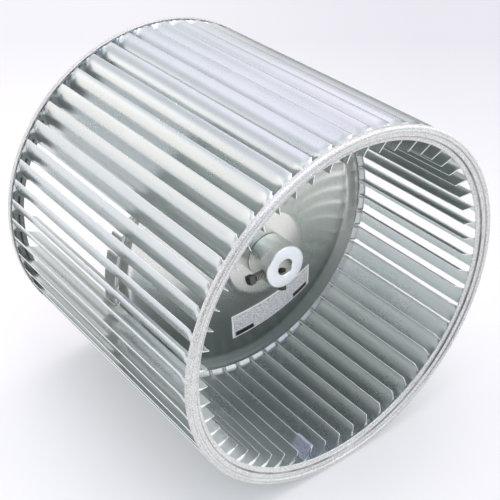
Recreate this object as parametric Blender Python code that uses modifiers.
"""Double-inlet forward-curved blower wheel: lanced blade strip, two end rings,
dished centre disc, turned hub, two square-head set screws, a balance clip and
a foil label.

Everything is drawn in millimetres in the wheel's own axes, with z along the
shaft towards the hub end and 0 halfway along the wheel. One empty lays that
axis down along world -Y. Objects are built in metres.
"""

import math

import bmesh
import bpy

# ---------------------------------------------------------------- dimensions
MM = 0.001
GAP = 0.3  # running gap between pieces that touch on the real wheel
CLOSE_GAP = GAP + 0.05  # gap under the balance clip and the label

BLADES = 53
PITCH = 2 * math.pi / BLADES
PHASE = math.radians(4.2)  # angle of blade 0's outer edge

BLADE_R = 135.1  # outer radius of the blades
BAND_R = 134.0  # outer radius of the strip's uncut edge, under the ring's flange
BLADE_BEND_R = 23.4  # radius the blade is curved to
BLADE_LEAD = math.radians(15.0)  # between the blade and the tangent at its outer edge
BLADE_TURN = math.radians(70.6)  # angle the blade section turns through
BLADE_ARC = BLADE_BEND_R * BLADE_TURN  # length of the section along its curve
BLADE_SHEET = 0.6
FACET_SHARES = (0.0, 0.28, 0.5625, 0.78, 1.0)  # facet edges along the section
STRIP_END = 118.8  # where the strip ends under the ring
SLOT_END = 115.8  # where the lanced slots end
FREE_END = 111.8  # where the blade's inner corner is cut away
TWIST_START = 107.5  # where the root starts to flatten towards the cylinder
ROOT_ARC = 14.3  # length of section left at the slot's end
TWIST_ARC = 16.2  # how far across the blade the flattening reaches

RING_R = 135.4  # outer radius of the end ring's flange
RING_HALF = 120.0  # half the overall width
RING_SHEET = 0.8
RING_SHOULDER_Z = 118.8  # both ends of the raised face drop to here
# Show face of an end ring: (radius, z), from the inlet edge to the flange's free edge
RING_FACE = (
    (124.0, 115.0),
    (127.0, 116.4),
    (127.7, 118.0),
    (130.6, RING_SHOULDER_Z),
    (131.5, RING_HALF),
    (134.2, RING_HALF),
    (RING_R, RING_SHOULDER_Z),
    (RING_R, 115.9),
)

HUB_R = 17.0
BORE_R = 6.35
HUB_FACE = 47.2
HUB_CHAMFER = 0.6
BORE_CHAMFER = 0.5
SPIGOT_R = 14.0  # the hub's neck through the disc
LIP_R = SPIGOT_R + 3.4  # the hub's lip on the far side of the disc
LIP_TAPER = 0.4
LIP_DEPTH = 2.4

DISC_SHEET = 1.2
DISC_STEPS = 48
PLATEAU_R = 33.7
PLATEAU_Z = 25.0
RIDGE_R = 102.4
RIM_R = 113.2
RIM_Z = 3.7
CONE_TOP_R, CONE_TOP_Z = 41.0, 20.6
CONE_FOOT_R, CONE_FOOT_Z = RIDGE_R - 3.0, 0.9
# Show face of the disc: (radius, z), from the spigot hole to the rim
DISC_FACE = (
    (SPIGOT_R + GAP, PLATEAU_Z),
    (PLATEAU_R, PLATEAU_Z),
    (36.2, 22.4),
    (CONE_TOP_R, CONE_TOP_Z),
    (CONE_FOOT_R, CONE_FOOT_Z),
    (RIDGE_R, 0.2),
    (RIDGE_R + 2.6, 0.6),
    (RIM_R, RIM_Z),
)

TAB_R = 118.2
TAB_SHARE = 0.70  # share of a pitch that a rim tab fills
TAB_THICKNESS = 1.0
TAB_MIDDLE_Z = RIM_Z - 0.75
TAB_BAND_R = RIM_R - 1.6  # inner radius of the band that joins the tabs
TAB_ROOT_R = RIM_R - 0.1
TAB_CORNER_R = TAB_R - 1.2
# Outline of a rim tab: (radius, share of the tab's half width)
TAB_OUTLINE = (
    (TAB_ROOT_R, -1.0),
    (TAB_CORNER_R, -0.97),
    (TAB_R, -0.80),
    (TAB_R, 0.80),
    (TAB_CORNER_R, 0.97),
    (TAB_ROOT_R, 1.0),
)

SCREW_Z = 42.0
# Set screws: (degrees round the hub, radius of the head's underside, turn of the head)
SET_SCREWS = ((184.0, 25.6, 20.0), (274.0, 17.3, 38.0))
SCREW_LENGTH = 12.7
SCREW_R = 3.175
SCREW_PITCH = 1.27
SCREW_ROOT_R = SCREW_R - 0.60 * SCREW_PITCH
SCREW_OVERLAP = 1.0  # how far the shank runs into the head
SCREW_NECK = 0.6  # plain length under the head
SCREW_RUNOUT = 1.4  # no thread crest reaches this near the tip
POINT_LENGTH = 0.9
POINT_R = 1.9
CUP_R = 1.4
CUP_DEPTH = 0.7
HEAD_FLATS = 6.35
HEAD_HEIGHT = 4.8
HEAD_CHAMFER = 0.45

SCREW_HOLE_R = 3.5
SCREW_HOLE_DEPTH = 22.0
SCREW_HOLE_MIDDLE_R = 13.0  # where the middle of the drilling tool lies

CLIP_BLADE = 36  # the blade that carries the balance clip
CLIP_FROM, CLIP_TO = 96.4, 111.6
CLIP_LEG = 12.2
CLIP_LEG_STEPS = 4
CLIP_SHEET = 0.8
CLIP_FOLD_SHIFT = 0.3  # the fold's centre beyond the blade's inner edge
CLIP_HOLE_R = 0.7
CLIP_HOLE_DEPTH = 8.0
# Clip holes: (arc back from the blade's inner edge, z)
CLIP_HOLES = ((8.6, CLIP_TO - 3.4), (4.0, CLIP_TO - 3.4), (6.3, CLIP_FROM + 3.2))

LABEL_SHEET = 0.3
LABEL_COLUMNS, LABEL_ROWS = 10, 2
# The label's curved edges: (x, y) of one end, the middle and the other end
LABEL_INNER = ((-25.4, -53.0), (9.0, -46.2), (52.9, -37.9))
LABEL_OUTER = ((-17.8, -83.2), (24.0, -76.0), (59.9, -64.0))


# --------------------------------------------------------------------- scene
for leftover in list(bpy.data.objects):
    bpy.data.objects.remove(leftover, do_unlink=True)


def collection(name):
    made = bpy.data.collections.new(name)
    bpy.context.scene.collection.children.link(made)
    return made


parts = collection("blower_motor_wheel")
cutters = collection("cutters")
cutters.hide_render = True


def empty(name, size, parent=None):
    made = bpy.data.objects.new(name, None)
    made.empty_display_size = size
    made.parent = parent
    parts.objects.link(made)
    return made


wheel = empty("wheel_axis", size=0.05)
wheel.rotation_euler = (math.pi / 2, 0.0, 0.0)


# ----------------------------------------------------------------- materials
def material(name, colour, roughness, metallic):
    made = bpy.data.materials.new(name)
    made.use_nodes = True
    shader = made.node_tree.nodes["Principled BSDF"]
    shader.inputs["Base Color"].default_value = (*colour, 1.0)
    shader.inputs["Roughness"].default_value = roughness
    shader.inputs["Metallic"].default_value = metallic
    return made


GALVANISED = material(
    "galvanised_sheet", colour=(0.62, 0.65, 0.66), roughness=0.38, metallic=1.0
)
RING_STEEL = material(
    "galvanised_ring", colour=(0.72, 0.74, 0.75), roughness=0.42, metallic=1.0
)
DISC_STEEL = material(
    "galvanised_disc", colour=(0.55, 0.58, 0.58), roughness=0.45, metallic=1.0
)
HUB_STEEL = material("turned_steel", colour=(0.75, 0.77, 0.78), roughness=0.25, metallic=1.0)
BLACK_OXIDE = material("black_oxide", colour=(0.06, 0.055, 0.05), roughness=0.5, metallic=0.9)
CLIP_STEEL = material("clip_steel", colour=(0.55, 0.57, 0.66), roughness=0.35, metallic=1.0)
FOIL = material("label_foil", colour=(0.78, 0.78, 0.79), roughness=0.5, metallic=0.6)


# ------------------------------------------------------------------- helpers
def metres(point):
    return tuple(value * MM for value in point)


def add_part(name, mesh, paint, parent=wheel):
    made = bpy.data.objects.new(name, mesh)
    parts.objects.link(made)
    made.parent = parent
    mesh.materials.append(paint)
    return made


def mesh_from(name, points, edges=(), faces=()):
    """A mesh from points in millimetres."""
    mesh = bpy.data.meshes.new(name)
    mesh.from_pydata([metres(point) for point in points], list(edges), list(faces))
    mesh.update()
    return mesh


def mesh_from_body(name, body):
    mesh = bpy.data.meshes.new(name)
    body.to_mesh(mesh)
    body.free()
    return mesh


def add_tool(name, mesh, place=(0.0, 0.0, 0.0), rotation=(0.0, 0.0, 0.0), parent=wheel):
    """A helper that a boolean adds or cuts away, its place in millimetres."""
    tool = bpy.data.objects.new(name, mesh)
    cutters.objects.link(tool)
    tool.display_type = "WIRE"
    tool.parent = parent
    tool.location = metres(place)
    tool.rotation_euler = rotation
    return tool


def drill_tool(name, radius, depth, segments, place, angle):
    """A cylinder square to z, pointing at this angle round it, its middle at place."""
    body = bmesh.new()
    bmesh.ops.create_cone(
        body,
        cap_ends=True,
        segments=segments,
        radius1=radius * MM,
        radius2=radius * MM,
        depth=depth * MM,
    )
    return add_tool(name, mesh_from_body(name, body), place, (0.0, math.pi / 2, angle))


def boolean(target, tool, operation, name):
    modifier = target.modifiers.new(name, "BOOLEAN")
    modifier.operation = operation
    modifier.solver = "EXACT"
    modifier.object = tool


def thicken(made, name, thickness, offset, even=False):
    modifier = made.modifiers.new(name, "SOLIDIFY")
    modifier.thickness = thickness * MM
    modifier.offset = offset
    modifier.use_even_offset = even
    modifier.use_rim = True


def shade(made, degrees):
    bpy.context.view_layer.objects.active = made
    made.select_set(True)
    bpy.ops.object.shade_smooth_by_angle(angle=math.radians(degrees))
    made.select_set(False)


def turned(name, section, steps, paint, smooth, parent=wheel, on_axis=False):
    """A section of (radius, z) spun about z.

    It runs down its outer side and back up inside. With on_axis its two ends lie
    on the axis and it stays open; otherwise it is closed.
    """
    points = [(radius, 0.0, z) for radius, z in section]
    edges = [(i, i + 1) for i in range(len(points) - 1)]
    if not on_axis:
        edges.append((len(points) - 1, 0))
    made = add_part(name, mesh_from(name, points, edges=edges), paint, parent)
    spin = made.modifiers.new("spin", "SCREW")
    spin.axis = "Z"
    spin.angle = 2 * math.pi
    spin.steps = steps
    spin.render_steps = steps
    spin.use_smooth_shade = False
    if on_axis:
        spin.use_merge_vertices = True
        spin.merge_threshold = 0.01 * MM
    shade(made, smooth)
    return made


def sheet_section(face, thickness):
    """The closed section of a sheet with this show face.

    The metal is on the right of the way the points run.
    """
    normals = []
    for (r0, z0), (r1, z1) in zip(face, face[1:]):
        length = math.hypot(r1 - r0, z1 - z0)
        normals.append(((z1 - z0) / length, -(r1 - r0) / length))
    back = []
    for i, (radius, z) in enumerate(face):
        before = normals[max(i - 1, 0)]
        after = normals[min(i, len(normals) - 1)]
        mitre = (before[0] + after[0], before[1] + after[1])
        size = math.hypot(*mitre)
        mitre = (mitre[0] / size, mitre[1] / size)
        reach = thickness / (mitre[0] * before[0] + mitre[1] * before[1])
        back.append((radius + mitre[0] * reach, z + mitre[1] * reach))
    return list(face) + back[::-1]


def extruded_mesh(name, outlines, depth):
    """A mesh of flat (x, y) outlines filled and extruded evenly about z = 0.

    An outline inside another is a hole.
    """
    curve = bpy.data.curves.new(name, "CURVE")
    curve.dimensions = "2D"
    curve.fill_mode = "BOTH"
    curve.extrude = depth / 2 * MM
    for outline in outlines:
        spline = curve.splines.new("POLY")
        spline.points.add(len(outline) - 1)
        for point, (x, y) in zip(spline.points, outline):
            point.co = (x * MM, y * MM, 0.0, 1.0)
        spline.use_cyclic_u = True
    drawn = bpy.data.objects.new(name + "_outline", curve)
    cutters.objects.link(drawn)
    bpy.context.view_layer.update()
    depsgraph = bpy.context.evaluated_depsgraph_get()
    filled = bpy.data.meshes.new_from_object(drawn.evaluated_get(depsgraph))
    bpy.data.objects.remove(drawn, do_unlink=True)

    # the caps and walls come apart, so they are welded into one solid
    body = bmesh.new()
    body.from_mesh(filled)
    bmesh.ops.remove_doubles(body, verts=body.verts, dist=0.01 * MM)
    bmesh.ops.recalc_face_normals(body, faces=body.faces)
    return mesh_from_body(name, body)


# --------------------------------------------------------------- blade shape
def section_point(arc, offset=0.0):
    """(tangent, radius) of the blade section in the blade's own axes.

    The point is this far along from the outer edge and off the convex face.
    """
    angle = BLADE_LEAD + arc / BLADE_BEND_R
    bend = BLADE_BEND_R + offset
    return (
        -BLADE_BEND_R * math.sin(BLADE_LEAD) + bend * math.sin(angle),
        BLADE_R - BLADE_BEND_R * math.cos(BLADE_LEAD) + bend * math.cos(angle),
    )


def at_blade(index, tangent, radius):
    """A blade's own axes to the wheel's (x, y)."""
    angle = PHASE + index * PITCH
    cosine, sine = math.cos(angle), math.sin(angle)
    return (radius * cosine - tangent * sine, radius * sine + tangent * cosine)


# --------------------------------------------------------------- blade strip
def eased(share):
    share = min(max(share, 0.0), 1.0)
    return share * share * (3 - 2 * share)


def flattening(arc, z):
    """0 along the blade, 1 where the strip lies round the cylinder under the ring."""
    if abs(z) >= SLOT_END:
        return 1.0
    across = 1 - eased(arc / TWIST_ARC)
    return across * eased((abs(z) - TWIST_START) / (SLOT_END - TWIST_START))


def strip_point(index, share, z):
    corner_cut = min(max((abs(z) - FREE_END) / (SLOT_END - FREE_END), 0.0), 1.0)
    arc = share * (BLADE_ARC + (ROOT_ARC - BLADE_ARC) * corner_cut)
    flat = flattening(arc, z)
    tangent, radius = section_point(arc)
    band_tangent = BAND_R * math.sin(arc / BAND_R)
    band_radius = BAND_R * math.cos(arc / BAND_R)
    x, y = at_blade(
        index,
        tangent + (band_tangent - tangent) * flat,
        radius + (band_radius - radius) * flat,
    )
    return (x, y, z)


def blade_strip():
    upper = [STRIP_END, SLOT_END, FREE_END, TWIST_START]
    stations = upper + [-z for z in reversed(upper)]
    points = [
        strip_point(blade, share, z)
        for blade in range(BLADES)
        for z in stations
        for share in FACET_SHARES
    ]

    def at(blade, row, column):
        return ((blade % BLADES) * len(stations) + row) * len(FACET_SHARES) + column

    last_row = len(stations) - 1
    last_column = len(FACET_SHARES) - 1
    faces = []
    for k in range(BLADES):
        for row in range(last_row):
            for i in range(last_column):
                faces.append(
                    (at(k, row, i), at(k, row + 1, i), at(k, row + 1, i + 1), at(k, row, i + 1))
                )
        # the land between neighbouring slots, inside the end ring
        for row in (0, last_row - 1):
            faces.append(
                (
                    at(k, row, last_column),
                    at(k, row + 1, last_column),
                    at(k + 1, row + 1, 0),
                    at(k + 1, row, 0),
                )
            )
    strip = add_part("blade_strip", mesh_from("blade_strip", points, faces=faces), GALVANISED)
    shade(strip, 35)
    thicken(strip, "sheet", BLADE_SHEET, offset=-1.0, even=True)


# ----------------------------------------------------------------- end rings
def end_ring(name, mirrored):
    """A hoop: flange round the blade ends, stepped face falling back to the inlet edge."""
    section = sheet_section(RING_FACE, RING_SHEET)
    if mirrored:
        section = [(radius, -z) for radius, z in reversed(section)]
    turned(name, section, steps=64, paint=RING_STEEL, smooth=40)


# --------------------------------------------------------------- centre disc
def rim_tabs():
    """Tabs one between each pair of blades, joined by a band inside the disc's rim."""
    half = TAB_SHARE * PITCH / 2
    # the angle between a blade's outer and inner edges, seen from the axis
    blade_sweep = math.atan2(*section_point(BLADE_ARC))
    outline = []
    for k in range(BLADES):
        centre = PHASE + blade_sweep + (k + 0.5) * PITCH
        for radius, share in TAB_OUTLINE:
            angle = centre + half * share
            outline.append((radius * math.cos(angle), radius * math.sin(angle)))
    inner = []
    for k in range(DISC_STEPS):
        angle = 2 * math.pi * k / DISC_STEPS
        inner.append((TAB_BAND_R * math.cos(angle), TAB_BAND_R * math.sin(angle)))
    mesh = extruded_mesh("rim_tabs", (outline, inner), TAB_THICKNESS)
    return add_tool("rim_tabs", mesh, place=(0.0, 0.0, TAB_MIDDLE_Z))


def centre_disc():
    section = sheet_section(DISC_FACE, DISC_SHEET)
    disc = turned("centre_disc", section, steps=DISC_STEPS, paint=DISC_STEEL, smooth=25)
    boolean(disc, rim_tabs(), "UNION", "rim tabs")


# ----------------------------------------------------------------------- hub
def hub():
    """The body stands on the disc's show face; a neck joins it to the lip beyond."""
    body_z = PLATEAU_Z + GAP
    lip_z = PLATEAU_Z - DISC_SHEET - GAP
    foot_z = lip_z - LIP_DEPTH
    section = [
        (HUB_R - HUB_CHAMFER, HUB_FACE),
        (HUB_R, HUB_FACE - HUB_CHAMFER),
        (HUB_R, body_z),
        (SPIGOT_R, body_z),
        (SPIGOT_R, lip_z),
        (LIP_R, lip_z),
        (LIP_R - LIP_TAPER, foot_z),
        (BORE_R + BORE_CHAMFER, foot_z),
        (BORE_R, foot_z + BORE_CHAMFER),
        (BORE_R, HUB_FACE - BORE_CHAMFER),
        (BORE_R + BORE_CHAMFER, HUB_FACE),
    ]
    made = turned("hub", section, steps=40, paint=HUB_STEEL, smooth=30)
    for number, (degrees, _, _) in enumerate(SET_SCREWS, 1):
        angle = math.radians(degrees)
        tool = drill_tool(
            f"screw_hole_{number}",
            radius=SCREW_HOLE_R,
            depth=SCREW_HOLE_DEPTH,
            segments=20,
            place=(
                SCREW_HOLE_MIDDLE_R * math.cos(angle),
                SCREW_HOLE_MIDDLE_R * math.sin(angle),
                SCREW_Z,
            ),
            angle=angle,
        )
        boolean(made, tool, "DIFFERENCE", f"screw hole {number}")


# ---------------------------------------------------------------- set screws
def shank_section():
    """Ridged thread, then a cup point; z = 0 is the underside of the head."""
    section = [(0.0, SCREW_OVERLAP), (SCREW_ROOT_R, SCREW_OVERLAP), (SCREW_ROOT_R, -SCREW_NECK)]
    half_pitch = SCREW_PITCH / 2
    crest_z = -SCREW_NECK - half_pitch
    while crest_z - half_pitch > -SCREW_LENGTH + SCREW_RUNOUT:
        section += [(SCREW_R, crest_z), (SCREW_ROOT_R, crest_z - half_pitch)]
        crest_z -= SCREW_PITCH
    return section + [
        (SCREW_ROOT_R, -SCREW_LENGTH + POINT_LENGTH),
        (POINT_R, -SCREW_LENGTH),
        (CUP_R, -SCREW_LENGTH),
        (0.0, -SCREW_LENGTH + CUP_DEPTH),
    ]


def screw_head(number, axis, turn):
    """A square block with its outer edges bevelled."""
    body = bmesh.new()
    bmesh.ops.create_cube(body, size=1.0)
    for corner in body.verts:
        corner.co.x *= HEAD_FLATS * MM
        corner.co.y *= HEAD_FLATS * MM
        corner.co.z = (corner.co.z + 0.5) * HEAD_HEIGHT * MM
    near_top = HEAD_HEIGHT * 0.9 * MM
    top = [edge for edge in body.edges if all(end.co.z > near_top for end in edge.verts)]
    bmesh.ops.bevel(
        body, geom=top, offset=HEAD_CHAMFER * MM, segments=1, profile=0.5, affect="EDGES"
    )
    name = f"screw_head_{number}"
    rotation = (0.0, 0.0, math.radians(turn))
    return add_tool(name, mesh_from_body(name, body), rotation=rotation, parent=axis)


def set_screw(number, degrees, under_head, head_turn):
    """Set screw along its own z, head outwards, on an empty that lies on its axis."""
    angle = math.radians(degrees)
    axis = empty(f"set_screw_{number}_axis", size=0.01, parent=wheel)
    axis.location = metres(
        (under_head * math.cos(angle), under_head * math.sin(angle), SCREW_Z)
    )
    axis.rotation_euler = (0.0, math.pi / 2, angle)
    screw = turned(
        f"set_screw_{number}",
        shank_section(),
        steps=12,
        paint=BLACK_OXIDE,
        smooth=35,
        parent=axis,
        on_axis=True,
    )
    boolean(screw, screw_head(number, axis, head_turn), "UNION", "head")


# -------------------------------------------------------------- balance clip
def clip_outline():
    """The folded sheet in blade axes, round the blade's inner edge."""
    start = BLADE_ARC - CLIP_LEG
    forward = range(CLIP_LEG_STEPS + 1)
    backward = forward[::-1]

    def leg(offset, order):
        return [section_point(start + CLIP_LEG * i / CLIP_LEG_STEPS, offset) for i in order]

    # the fold: half a turn beyond the blade's edge, from one face to the other
    edge_angle = BLADE_LEAD + BLADE_TURN
    cosine, sine = math.cos(edge_angle), math.sin(edge_angle)
    edge_tangent, edge_radius = section_point(BLADE_ARC, -BLADE_SHEET / 2)

    def fold(radius, order):
        bend = []
        for i in order:
            turn = math.radians(30 * i)
            across = radius * math.cos(turn)
            along = radius * math.sin(turn) + CLIP_FOLD_SHIFT
            bend.append(
                (
                    edge_tangent + sine * across + cosine * along,
                    edge_radius + cosine * across - sine * along,
                )
            )
        return bend

    fold_r = BLADE_SHEET / 2 + CLOSE_GAP
    return (
        leg(CLOSE_GAP + CLIP_SHEET, forward)
        + fold(fold_r + CLIP_SHEET, range(1, 6))
        + leg(-BLADE_SHEET - CLOSE_GAP - CLIP_SHEET, backward)
        + leg(-BLADE_SHEET - CLOSE_GAP, forward)
        + fold(fold_r, range(5, 0, -1))
        + leg(CLOSE_GAP, backward)
    )


def balance_clip():
    """A folded clip over one blade's inner edge, following its curve on both sides."""
    outline = [at_blade(CLIP_BLADE, *point) for point in clip_outline()]
    mesh = extruded_mesh("balance_clip", (outline,), CLIP_TO - CLIP_FROM)
    clip = add_part("balance_clip", mesh, CLIP_STEEL)
    clip.location = (0.0, 0.0, (CLIP_FROM + CLIP_TO) / 2 * MM)
    shade(clip, 40)

    # holes through both legs, square to the blade
    for number, (setback, z) in enumerate(CLIP_HOLES, 1):
        arc = BLADE_ARC - setback
        x, y = at_blade(CLIP_BLADE, *section_point(arc, -BLADE_SHEET / 2))
        tip_x, tip_y = at_blade(CLIP_BLADE, *section_point(arc, 4.0))
        tool = drill_tool(
            f"clip_hole_{number}",
            radius=CLIP_HOLE_R,
            depth=CLIP_HOLE_DEPTH,
            segments=10,
            place=(x, y, z),
            angle=math.atan2(tip_y - y, tip_x - x),
        )
        boolean(clip, tool, "DIFFERENCE", f"hole {number}")


# --------------------------------------------------------------------- label
def cone_height(radius):
    """z of the disc's show face between the plateau's shoulder and the ridge."""
    slope = (CONE_FOOT_Z - CONE_TOP_Z) / (CONE_FOOT_R - CONE_TOP_R)
    return CONE_TOP_Z + (radius - CONE_TOP_R) * slope


def quadratic(start, middle, end, u):
    """The curve through three points at u = 0, one half and 1."""
    return tuple(
        p * (2 * u - 1) * (u - 1) + q * 4 * u * (1 - u) + s * u * (2 * u - 1)
        for p, q, s in zip(start, middle, end)
    )


def label():
    """Foil lying on the disc's cone."""
    points = []
    for i in range(LABEL_COLUMNS + 1):
        inner = quadratic(*LABEL_INNER, i / LABEL_COLUMNS)
        outer = quadratic(*LABEL_OUTER, i / LABEL_COLUMNS)
        for j in range(LABEL_ROWS + 1):
            x, y = (a + (b - a) * j / LABEL_ROWS for a, b in zip(inner, outer))
            points.append((x, y, cone_height(math.hypot(x, y)) + CLOSE_GAP))
    stride = LABEL_ROWS + 1
    faces = []
    for i in range(LABEL_COLUMNS):
        for j in range(LABEL_ROWS):
            k = i * stride + j
            faces.append((k, k + 1, k + stride + 1, k + stride))
    made = add_part("disc_label", mesh_from("disc_label", points, faces=faces), FOIL)
    shade(made, 30)
    thicken(made, "foil", LABEL_SHEET, offset=1.0)


# --------------------------------------------------------------------- build
blade_strip()
end_ring("end_ring_hub_side", mirrored=False)
end_ring("end_ring_far_side", mirrored=True)
centre_disc()
hub()
for screw_number, screw_place in enumerate(SET_SCREWS, 1):
    set_screw(screw_number, *screw_place)
balance_clip()
label()
